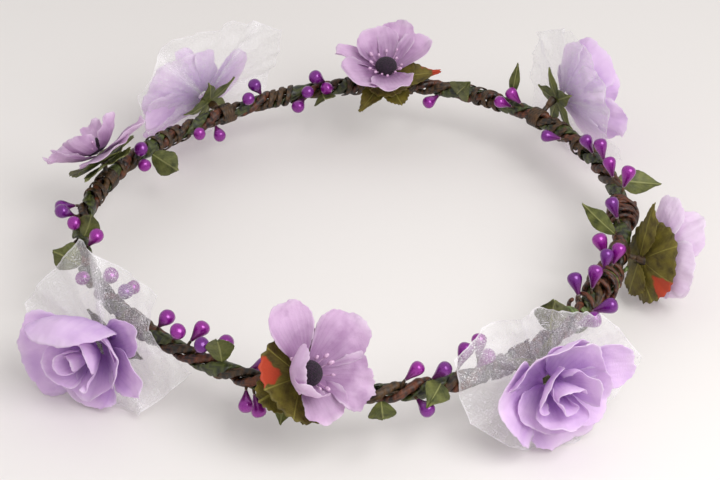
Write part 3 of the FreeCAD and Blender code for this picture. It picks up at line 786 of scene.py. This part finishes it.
# The wrap round the vine, then the wire that stands out of it and the knob at its end.
WRAP_TURNS = 4.5
WRAP_STEPS = 120
WRAP_HALF_LENGTH = 2.6
WRAP_OFFSET = 3.45
WRAP_RADIUS = 0.85
WRAP_FLAT = 0.4
STEM_START = 3.4
STEM_RADIUS = 0.9
KNOB = ((0, -2.1), (0.9, -2.0), (1.25, -1.2), (1.4, 0), (1.7, 1.2), (1.5, 2.0), (0, 2.2))


def make_stem(flower):
    """Wire wound round the vine, standing out to the head, with a knob under the flower."""
    turn = {**ROSES, **ANEMONES}[flower][0]
    angle = foot_angle(flower)
    sheets = Sheets()
    reach = degrees(WRAP_HALF_LENGTH / HOOP_RADIUS)
    path, reference = [], []
    for n in range(WRAP_STEPS + 1):
        t = n / WRAP_STEPS
        across = turned(angle + (2 * t - 1) * reach, turn + 360 * WRAP_TURNS * (t - 1))
        path.append(hoop_point(angle + (2 * t - 1) * reach) + across * WRAP_OFFSET)
        reference.append(across)
    tube(sheets, path, WRAP_RADIUS, reference, 8, WRAP_FLAT)
    along, _, _ = hoop_directions(angle)
    out = turned(angle, turn)
    wire = [hoop_point(angle) + out * d for d in np.linspace(STEM_START, STEM_REACH, 8)]
    tube(sheets, wire, STEM_RADIUS, along, 10)
    lathe(sheets, standing(angle, turn, STEM_REACH), KNOB, 16)
    finish(sheets, flower, f"{flower}_stem", "paper", "bark")


# Roses

# Where petals start: their distance from the head's axis and their height.
ROSE_FEET = {"outer_petals": (1.8, 7.0), "inner_petals": (1.5, 9.5), "bud": (1.6, 11)}
ROSE_PETALS = {
    "rose_front_left": {
        "outer_petals": (
            blade(103, (84, -52), 32, 17, cup=22, ruffle=(0.5, 4), foot=(1.8, 6.6), widths=(0.7, 1.05),
                  rag=0.02),
            blade(40, (88, 72), 21, 7.5, cup=20, curl=-10, ruffle=(0.6, 4), point=0.4),
            blade(200, (84, 44), 27, 14, cup=22, ruffle=(1.0, 3), crease=1.0),
            blade(250, (84, 36), 17, 15, cup=18, curl=12, ruffle=(0.9, 6)),
            blade(354, (84, 56), 24, 8.5, cup=34, curl=10, ruffle=(0.8, 5), foot=(1.6, 7.2), point=0.4),
            blade(20, (74, 34), 19, 10, cup=35, foot=(1.6, 8), ruffle=(0.5, 4)),
            blade(290, (72, 34), 15, 11, cup=35, foot=(1.6, 8), ruffle=(0.6, 5)),
            blade(65, (72, 30), 15, 10, cup=35, foot=(1.6, 7.4), ruffle=(0.6, 5)),
        ),
        "inner_petals": (
            blade(60, (46, 10), 16, 9, cup=60, ruffle=(0.3, 3)),
            blade(310, (46, 24), 15, 7, cup=50, point=0.75, rag=0.01),
            blade(215, (52, 12), 17, 10, cup=80, foot=(1.5, 9.2), ruffle=(0.2, 3)),
        ),
        "bud": (
            blade(200, (20, 2), 14, 6.5, cup=120, ruffle=(0.1, 3), uneven=0.2),
            blade(60, (12, -4), 12, 5.5, cup=130, foot=(1.0, 11), ruffle=(0.1, 3), uneven=0.2),
        ),
    },
}
ROSE_PETALS["rose_front_right"] = {
    "outer_petals": (
        blade(8, (82, 62), 26, 7, cup=26, ruffle=(0.5, 4), widths=(0.9, 1.25)),
        blade(112, (78, 12), 22, 14, cup=26, curl=20, ruffle=(0.8, 5)),
        blade(183, (78, 38), 22, 14, cup=34, curl=18, ruffle=(0.6, 4)),
        blade(290, (86, 56), 19, 14, cup=22, curl=22, ruffle=(0.9, 6), rag=0.05),
        blade(232, (76, 34), 15, 11, cup=34, curl=14, foot=(1.6, 7.6)),
        blade(335, (76, 44), 18, 10, cup=36, curl=26, foot=(1.6, 8)),
        blade(55, (76, 40), 18, 11, cup=35, foot=(1.6, 8)),
    ),
    "inner_petals": (
        blade(150, (42, 14), 16, 8.5, cup=20, roll=(0, 120)),
        blade(265, (46, 14), 16, 9, cup=24, roll=(0, 110)),
        blade(25, (44, 16), 16, 9, cup=20, roll=(0, 120)),
    ),
    "bud": (
        blade(90, (16, 2), 14, 6.5, cup=60, roll=(0, 110), foot=(2.0, 11), uneven=0.2),
        blade(230, (16, 2), 13, 6.0, cup=60, roll=(0, 110), uneven=0.2),
    ),
}
ROSE_PETALS["rose_back_left"] = {
    "outer_petals": (
        blade(18, (82, 56), 24, 13, cup=25, ruffle=(0.9, 4)),
        blade(75, (76, 16), 16, 12, cup=30, ruffle=(0.9, 5)),
        blade(132, (78, 30), 16, 10, cup=30, ruffle=(0.8, 5)),
        blade(182, (90, 76), 24, 13, cup=22, ruffle=(0.8, 4)),
        blade(250, (78, 44), 19, 12, cup=30),
        blade(346, (92, 78), 26, 12, cup=20, ruffle=(0.8, 5)),
        blade(306, (84, 60), 19, 12, cup=28, ruffle=(0.8, 5)),
    ),
    "inner_petals": tuple(blade(a, (48, 8), 17, 9, cup=60) for a in (0, 120, 240)),
    "bud": ROSE_PETALS["rose_front_left"]["bud"],
}
ROSE_PETALS["rose_back_right"] = {
    "outer_petals": (
        blade(100, (72, 26), 23, 13, cup=28, curl=10),
        blade(152, (76, 40), 16, 10, cup=30),
        blade(206, (72, 42), 25, 11, cup=30, curl=20, ruffle=(1.4, 6), rag=0.03),
        blade(262, (78, 52), 22, 13, cup=30, curl=15),
        blade(325, (78, 46), 20, 12, cup=30),
        blade(38, (76, 40), 20, 13, cup=30),
    ),
    "inner_petals": tuple(blade(a, (48, 8), 18, 9, cup=60) for a in (30, 150, 270)),
    "bud": ROSE_PETALS["rose_front_left"]["bud"],
}

# A net's cut corners: angle round the head, distance from the middle, opening from the head's axis there.
NETS = {
    "rose_front_left": (
        (8, 34, 98), (36, 18, 100), (54, 29, 106), (118, 34, 103), (174, 32, 84), (245, 23, 78),
        (310, 24, 84),
    ),
    "rose_front_right": (
        (-5, 33, 96), (28, 26, 86), (62, 25, 70), (98, 26, 72), (133, 29, 92), (155, 32, 96), (195, 27, 88),
        (234, 23, 80), (279, 26, 76),
    ),
    "rose_back_left": (
        (20, 33, 70), (61, 38, 72), (108, 33, 82), (150, 39, 98), (196, 35, 104), (246, 33, 104),
        (310, 30, 84),
    ),
    "rose_back_right": (
        (40, 27, 84), (105, 35, 96), (140, 27, 78), (205, 33, 74), (250, 23, 76), (300, 32, 92),
        (345, 26, 90),
    ),
}
# Where a net is gathered: its opening, distance from the axis and height. Then its thread spacing.
NET_OPENING = 84
NET_GATHER = 1.0
NET_HEIGHT = 5.0
THREAD = 0.36
# Its grid from middle to rim and along each side.
NET_ROWS, NET_COLUMNS = 30, 34
FOLD_COUNTS = (5, 8, 13)
FOLD_HEIGHT = 3.0
# Where it lies on the floor: the ripples' height in metres and their rate per metre.
RIPPLE_HEIGHT = 0.0004
RIPPLE_RATE = 900


def net_points(corners, seed):
    """A gathered net: straight cut edges between its corners, folds that grow towards the rim."""
    dice = np.random.RandomState(seed)
    edge = []
    for number, (angle, reach, opening) in enumerate(corners):
        next_angle, next_reach, next_opening = corners[(number + 1) % len(corners)]
        if number == len(corners) - 1:
            next_angle += 360
        a, b = radians(angle), radians(next_angle)
        for t in np.arange(NET_COLUMNS) / NET_COLUMNS:
            x = reach * cos(a) * (1 - t) + next_reach * cos(b) * t
            y = reach * sin(a) * (1 - t) + next_reach * sin(b) * t
            ease = t * t * (3 - 2 * t)
            edge.append((atan2(y, x), hypot(x, y), opening * (1 - ease) + next_opening * ease))
    angle, reach, opening = np.array(edge).T
    share = np.linspace(0.04, 1, NET_ROWS)[:, None]
    folds = np.zeros_like(angle)
    for count in FOLD_COUNTS:
        folds += np.abs((angle * count / FULL_TURN + dice.uniform()) % 1 - 0.5) * 4 - 1
    folds = folds / len(FOLD_COUNTS)
    tilt = np.radians(NET_OPENING + (opening - NET_OPENING) * share)
    distance = reach * share
    radial = NET_GATHER + distance * np.sin((radians(NET_OPENING) + tilt) / 2)
    height = NET_HEIGHT + distance * np.cos((radians(NET_OPENING) + tilt) / 2)
    x, y = distance * np.cos(angle), distance * np.sin(angle)
    crinkles = 0.7 * waves(seed, x, y, 5) + 0.35 * waves(seed + 9, x, y, 2)
    swing = FOLD_HEIGHT * folds * share**1.3 + crinkles * share
    radial = radial - np.cos(tilt) * swing
    height = height + np.sin(tilt) * swing
    points = np.stack([radial * np.cos(angle), radial * np.sin(angle), height], axis=-1)
    flat = np.stack([x, y], axis=-1)
    values = np.stack([share + 0 * angle, folds + 0 * share, 0 * distance + seed * 0.1], axis=-1)
    return points, flat, values


def make_net(rose, seed):
    """The net. Where it would reach the floor it lies on it, in ripples."""
    corners = NETS[rose]
    points, flat, values = net_points(corners, seed)
    put = head(rose).put(points)
    low = FLOOR + NET_CLEARANCE
    ripples = RIPPLE_HEIGHT * (1 + np.sin(RIPPLE_RATE * put[..., 0]))
    put[..., 2] = np.where(put[..., 2] < low, low + ripples, put[..., 2])
    sheets = Sheets()
    sheets.add(put, values, closed=True)
    piece = finish(sheets, rose, f"{rose}_tulle", "net", "net")
    layer = piece.data.uv_layers.new(name="cut")
    threads = flat.reshape(-1, 2) / THREAD
    for loop in piece.data.loops:
        layer.data[loop.index].uv = threads[loop.vertex_index]


SEPALS = 5
CALYX_CUP = ((0, 2.5), (1.6, 2.6), (2.2, 3.0), (3.0, 4.0), (3.4, 4.5), (0, 4.6))


def make_calyx(rose, place):
    """The green cup and its pointed sepals."""
    sheets = Sheets()
    add_petals(sheets, place, [
        blade(360 / SEPALS * n, (100, 84), 12, 2.9, foot=(1.2, 2.8), widths=(1.0, 1.2), cup=14, crease=0.5,
              ruffle=(0.1, 3), uneven=0.3, point=0.8, curl=-20, seed=n + 2)
        for n in range(SEPALS)
    ])
    lathe(sheets, place, CALYX_CUP, 18)
    finish(sheets, rose, f"{rose}_calyx", "cloth", "dark_leaf", CALYX_THICKNESS)


FIRST_NET_SEED = 3


def make_rose(rose, seed):
    place = head(rose)
    make_stem(rose)
    make_calyx(rose, place)
    for part, petals in ROSE_PETALS[rose].items():
        sheets = Sheets()
        add_petals(sheets, place, petals, foot=ROSE_FEET[part])
        finish(sheets, rose, f"{rose}_{part}", "cloth", "rose", PETAL_THICKNESS)
    make_net(rose, seed)


# Anemones

# What the rows of the anemones' table share unless they say otherwise.
ANEMONE_SHARED = {"foot": (1.3, 3), "ruffle": (0.6, 5)}
ANEMONE_PETALS = {
    "anemone_front": (
        blade(94, (84, 62), 22.5, 7.2, cup=44, ruffle=(0.8, 4), widths=(0.42, 1.2)),
        blade(28, (84, 66), 22.5, 8.6, cup=40, ruffle=(1.0, 4), widths=(0.42, 1.2)),
        blade(330, (84, 70), 20, 7.6, cup=30, ruffle=(1.3, 6), foot=(1.2, 3.6), widths=(0.5, 1.2),
              rag=0.07),
        blade(278, (86, 68), 15, 7.6, cup=34, ruffle=(1.3, 7), rag=0.03),
        blade(226, (74, -30), 17, 7, cup=56, ruffle=(0.9, 6), foot=(1.2, 3.6)),
        blade(156, (76, -50), 19, 8, cup=50, ruffle=(0.6, 4), foot=(1.2, 3.6)),
    ),
    "anemone_left": (
        blade(6, (74, 4), 14, 7.5, cup=60, ruffle=(0.4, 4), foot=(1.2, 3.6)),
        blade(112, (76, 22), 16, 7, cup=55, foot=(1.2, 3.6)),
        blade(115, (92, 70), 20, 10, cup=16, ruffle=(0.8, 5)),
        blade(60, (94, 84), 17, 11, cup=14, ruffle=(0.8, 6)),
        blade(215, (74, 24), 17, 4.5, cup=50, curl=35, ruffle=(0.9, 6), foot=(1.2, 3.6), rag=0.06),
        blade(335, (84, 32), 19, 6, cup=50, curl=20, ruffle=(0.8, 6), rag=0.07),
        blade(275, (78, 40), 18, 8, cup=45, curl=25, ruffle=(0.6, 6), foot=(1.2, 3.6)),
    ),
    "anemone_back": (
        blade(108, (76, 26), 17, 9, cup=44),
        blade(66, (80, 44), 20, 7.5, cup=44, foot=(1.2, 3.6)),
        blade(25, (80, 46), 20, 7, cup=60, ruffle=(0.4, 5)),
        blade(276, (82, 46), 17.5, 9, cup=40, ruffle=(0.9, 6), foot=(1.2, 3.6)),
        blade(210, (82, 46), 19, 9.5, cup=36, ruffle=(0.5, 5)),
        blade(158, (86, 60), 20, 4.5, cup=70, curl=30, ruffle=(0.8, 5), foot=(1.2, 3.6)),
    ),
    "anemone_right": (
        blade(70, (84, 64), 22, 8, cup=30, ruffle=(0.5, 5)),
        blade(105, (78, 40), 22, 9, cup=30, foot=(1.2, 3.6)),
        blade(160, (84, 56), 18, 9, cup=30),
        blade(220, (72, 24), 16, 9, cup=40, foot=(1.2, 3.6)),
        blade(280, (72, 24), 16, 9, cup=40),
        blade(340, (74, 28), 16, 9, cup=40, foot=(1.2, 3.6)),
    ),
}
# Small leaves: angle round the head, length, half width, whether pointed, and how red the far end is.
ANEMONE_LEAVES = {
    "anemone_front": ((190, 14, 7, False, 0.3), (250, 13, 4, True, 0)),
    "anemone_left": ((20, 17, 5, True, 0), (75, 14, 6, False, 0), (200, 13, 3, True, 0)),
    "anemone_back": ((5, 20, 6, True, 0.62), (235, 19, 4.5, True, 0), (290, 13, 5, False, 0)),
    "anemone_right": ((262, 11, 6, False, 0), (80, 19, 5, True, 0.2)),
}
# The round leaf: where its red patch is, how far its rim rises, and its radius.
ROUND_LEAVES = {
    "anemone_front": (160, 3.4, 14.2),
    "anemone_left": (200, 1.6, 13),
    "anemone_back": (120, 1.6, 11.5),
    "anemone_right": (200, 3.8, 14.2),
}


ROUND_TEETH = 26
ROUND_VEINS = 7


def round_leaf(sheets, place, blush_at, cup, reach, seed):
    """A round toothed leaf threaded on the stem."""
    around = np.linspace(0, FULL_TURN, 120, endpoint=False)
    share = np.linspace(0.08, 1, 16)[:, None]
    saw = np.abs((around * ROUND_TEETH / FULL_TURN) % 1 - 0.5) * 2
    radius = reach * share * (1 + 0.07 * (saw - 0.5) * share**6) * (1 + 0.04 * np.sin(3 * around + seed))
    swells = 0.7 * np.sin(4 * around + seed) + 0.25 * np.cos(11 * around)
    height = 0.3 + cup * share**2 + share * swells
    points = np.stack([radius * np.cos(around), radius * np.sin(around), height], axis=-1)
    sector = np.abs((around * ROUND_VEINS / FULL_TURN) % 1 - 0.5) * 2
    blush = np.exp(-(((around - radians(blush_at) + pi) % FULL_TURN - pi) / 0.4) ** 2)
    values = np.stack([share + 0 * around, sector + 0 * share, blush + 0 * share], axis=-1)
    sheets.add(place.put(points), values, closed=True)


def make_anemone_leaves(flower, place):
    sheets = Sheets()
    round_leaf(sheets, place, *ROUND_LEAVES[flower], len(flower))
    add_petals(sheets, place, [
        blade(around, (94, 84), length, half, foot=(1.5, -0.9), widths=(0.8, 1.15), cup=18, crease=0.4,
              ruffle=(0.4, 5), uneven=0.4, point=0.75 if pointed else 0.1, teeth=(0.09, 24), rag=0.02,
              tone=tone, seed=number + 4)
        for number, (around, length, half, pointed, tone) in enumerate(ANEMONE_LEAVES[flower])
    ])
    cloth = "dark_leaf" if flower == "anemone_left" else "olive_leaf"
    finish(sheets, flower, f"{flower}_leaves", "cloth", cloth, LEAF_THICKNESS)


BUTTON_RADIUS = 4.05
BUTTON_RISE = 3.3
BUTTON_BOTTOM, BUTTON_MIDDLE, BUTTON_TOP = 4.8, 5.7, 9.05
STAMENS = 13
# Where a stamen stands: its distance from the axis and its height. Then its thread's radius.
STAMEN_FOOT = (3.9, 5.4)
STAMEN_RADIUS = 0.17


def make_button(flower, place):
    """The felt dome."""
    sheets = Sheets()
    dome = [
        (BUTTON_RADIUS * cos(a), BUTTON_MIDDLE + BUTTON_RISE * sin(a))
        for a in np.linspace(-0.5, 1.45, 12)
    ]
    lathe(sheets, place, [(0, BUTTON_BOTTOM), *dome, (0, BUTTON_TOP)], 36, 2.0, 0.02)
    finish(sheets, flower, f"{flower}_button", "felt", "felt")


def make_stamens(flower, place):
    """Thin threads with pearl beads, of uneven length, in a ring round the button."""
    sheets = Sheets()
    dice = np.random.RandomState(len(flower))
    for number in range(STAMENS):
        a = radians(360 * number / STAMENS + dice.uniform(-11, 11))
        lean = radians(dice.uniform(38, 56))
        length = dice.uniform(1.6, 4.6)
        out = np.array([cos(a) * sin(lean), sin(a) * sin(lean), cos(lean)])
        foot = np.array([STAMEN_FOOT[0] * cos(a), STAMEN_FOOT[0] * sin(a), STAMEN_FOOT[1]])
        bow = np.array([cos(a), sin(a), 0]) * dice.uniform(0.2, 0.8)
        line = [foot + out * length * t + bow * sin(pi * t) for t in np.linspace(0, 1, 8)]
        world = np.array([place.put(p) / MM for p in line])
        tube(sheets, world, STAMEN_RADIUS, place.axes[2], 6)
        ahead = out @ place.axes
        across = np.cross(place.axes[2], ahead)
        across /= np.linalg.norm(across)
        bead = Place(place.put(line[-1]) / MM, across, ahead)
        size = dice.uniform(0.45, 0.75)
        ball = [(size * sin(b), -1.6 * size * cos(b)) for b in np.linspace(0, pi, 9)]
        ball[0], ball[-1] = (0, -1.6 * size), (0, 1.6 * size)
        lathe(sheets, bead, ball, 12)
    finish(sheets, flower, f"{flower}_stamens", "pearl", "pearl")


def make_anemone(flower):
    place = head(flower)
    make_stem(flower)
    make_anemone_leaves(flower, place)
    sheets = Sheets()
    add_petals(sheets, place, ANEMONE_PETALS[flower], **ANEMONE_SHARED)
    cloth = "pale_anemone" if flower == "anemone_right" else "anemone"
    finish(sheets, flower, f"{flower}_petals", "cloth", cloth, PETAL_THICKNESS)
    make_button(flower, place)
    make_stamens(flower, place)


# The stage

# In metres. The camera's target and lens are in millimetres, its rise in degrees, the lamp's power in watts.
FLOOR_HALF_SIZE = 3.0
KEY_PLACE = (0.30, -0.34, 0.50)
KEY_SIZE = 0.45
KEY_POWER = 2.7
SKY_POWER = 0.74
CAMERA_TARGET = (0.4, -12.6, 0)
CAMERA_RISE = 34.9
CAMERA_DISTANCE = 0.6
LENS = 88.45


def make_floor():
    mesh = bpy.data.meshes.new("floor")
    size = FLOOR_HALF_SIZE
    corners = [(-size, -size, FLOOR), (size, -size, FLOOR), (size, size, FLOOR), (-size, size, FLOOR)]
    mesh.from_pydata(corners, [], [(0, 1, 2, 3)])
    floor = bpy.data.objects.new("floor", mesh)
    bpy.context.scene.collection.objects.link(floor)
    n = Nodes("pale floor")
    colour = n.mix(n.span(n.noise(2.0, 1), 0.3, 0.7), srgb(228, 223, 220), srgb(237, 233, 230))
    mesh.materials.append(n.surface(Base_Color=colour, Roughness=0.7))


def make_light():
    """A soft disc at the right, in front, aimed at the hoop's middle."""
    data = bpy.data.lights.new("key", "AREA")
    data.shape = "DISK"
    data.size = KEY_SIZE
    data.energy = KEY_POWER
    light = bpy.data.objects.new("key", data)
    light.location = KEY_PLACE
    light.rotation_euler = (-Vector(KEY_PLACE)).to_track_quat("-Z", "Y").to_euler()
    bpy.context.scene.collection.objects.link(light)


def make_stage():
    make_floor()
    world = bpy.data.worlds.new("studio")
    world.use_nodes = True
    world.node_tree.nodes["Background"].inputs[0].default_value = (1.0, 0.995, 0.99, 1)
    world.node_tree.nodes["Background"].inputs[1].default_value = SKY_POWER
    bpy.context.scene.world = world
    make_light()
    view = bpy.context.scene.view_settings
    view.view_transform = "Standard"
    view.look = "None"


def make_camera():
    """A view from the front, 35 degrees above the horizon."""
    rise = radians(CAMERA_RISE)
    data = bpy.data.cameras.new("camera")
    data.sensor_width = 36
    data.lens = LENS
    camera = bpy.data.objects.new("camera", data)
    back = Vector((0, -cos(rise), sin(rise)))
    camera.location = Vector(CAMERA_TARGET) * MM + back * CAMERA_DISTANCE
    camera.rotation_mode = "QUATERNION"
    camera.rotation_quaternion = (-back).to_track_quat("-Z", "Y")
    data.clip_start = 0.01
    bpy.context.scene.collection.objects.link(camera)
    bpy.context.scene.camera = camera


def make_crown():
    make_vine()
    make_berries()
    make_vine_leaves()
    for number, rose in enumerate(ROSES):
        make_rose(rose, FIRST_NET_SEED + number)
    for anemone in ANEMONES:
        make_anemone(anemone)


make_camera()
make_stage()
make_crown()
